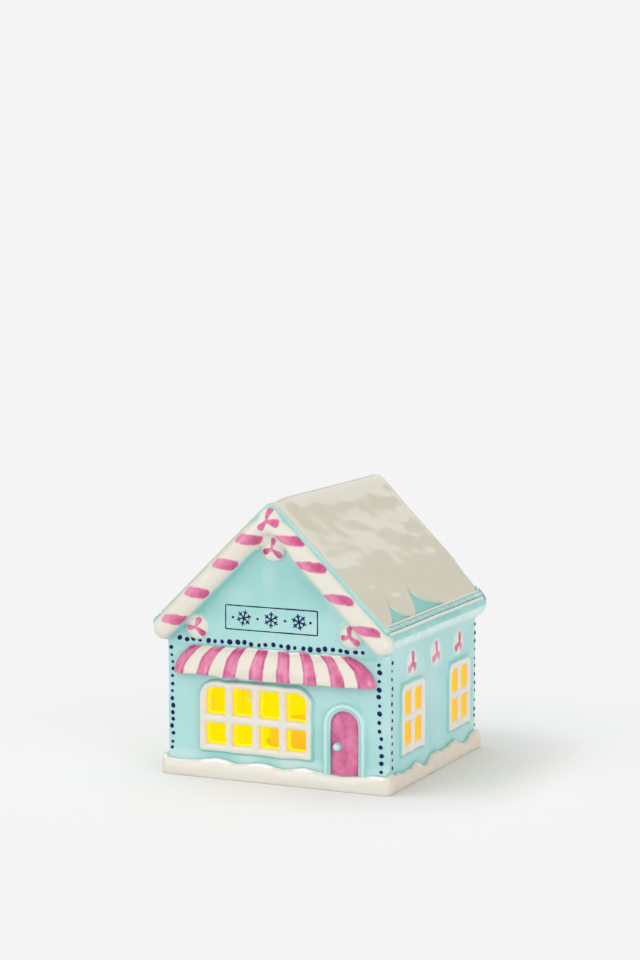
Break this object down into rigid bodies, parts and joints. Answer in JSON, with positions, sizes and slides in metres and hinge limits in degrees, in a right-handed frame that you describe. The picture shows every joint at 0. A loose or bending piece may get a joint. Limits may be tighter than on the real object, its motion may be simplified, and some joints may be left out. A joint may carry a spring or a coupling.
{
  "type": "ceramic village house",
  "caption": "Small lit ceramic Christmas village house: snowy gable roof, candy cane rakes, striped awning, open windows and a removable battery LED light in its base",
  "frame": {"origin": "on the table under the middle of the house", "axes": "front with the door towards -Y, right wall towards +X, ridge up +Z"},
  "size_m": [0.1002, 0.105, 0.1088],
  "materials": {
    "aqua_glaze": "gloss",
    "cream_glaze": "gloss",
    "pink_glaze": "gloss",
    "bisque": "matt",
    "white_plastic": "satin",
    "black_plastic": "satin",
    "silicone": "matt",
    "nickel_steel": "satin",
    "board_laminate": "satin",
    "lamp_lens": "gloss"
  },
  "bodies": {
    "house": {"front_wall": "aqua_glaze", "back_wall": "aqua_glaze", "right_wall": "aqua_glaze", "left_wall": "aqua_glaze", "roof_shell": "aqua_glaze", "eave_rope_right": "aqua_glaze", "eave_rope_left": "aqua_glaze", "rake_board": "aqua_glaze", "door_trim": "aqua_glaze", "door_knob": "aqua_glaze", "roof_snow": "cream_glaze", "base_snow": "cream_glaze", "shop_window": "cream_glaze", "candy_cane_right": "cream_glaze", "candy_cane_left": "cream_glaze", "gable_peppermint": "cream_glaze", "front_peppermint_right": "cream_glaze", "front_peppermint_left": "cream_glaze", "right_window_front": "cream_glaze", "right_window_rear": "cream_glaze", "left_window_front": "cream_glaze", "left_window_rear": "cream_glaze", "right_peppermint_front": "cream_glaze", "right_peppermint_middle": "cream_glaze", "right_peppermint_rear": "cream_glaze", "left_peppermint_front": "cream_glaze", "left_peppermint_middle": "cream_glaze", "left_peppermint_rear": "cream_glaze", "awning": "pink_glaze", "door_panel": "pink_glaze", "floor_plate": "bisque"},
    "light_module": {"module_base": "white_plastic", "module_cap": "white_plastic", "grip_ring": "silicone", "cell_holder": "white_plastic", "button_cell_1": "nickel_steel", "button_cell_2": "nickel_steel", "button_cell_3": "nickel_steel", "cell_contact": "nickel_steel", "circuit_board": "board_laminate", "led_lamp": "lamp_lens", "switch_body": "white_plastic"},
    "battery_door": {"battery_door": "white_plastic", "door_contact": "nickel_steel"},
    "door_screw": {"battery_door_screw": "nickel_steel"},
    "switch_slider": {"switch_slider": "black_plastic"}
  },
  "joints": [
    {"name": "light_pull", "type": "slide", "parent": "house", "child": "light_module", "axis": [0, 0, -1], "range_m": [0, 0.03]},
    {"name": "battery_door_lift", "type": "slide", "parent": "light_module", "child": "battery_door", "axis": [0, 0, -1], "range_m": [0, 0.012]},
    {"name": "screw_turn", "type": "hinge", "parent": "battery_door", "child": "door_screw", "pos_m": [0, 0.01758, 0.0016], "axis": [0, 0, 1], "continuous": true},
    {"name": "switch_slide", "type": "slide", "parent": "light_module", "child": "switch_slider", "axis": [1, 0, 0], "range_m": [0, 0.002]}
  ]
}
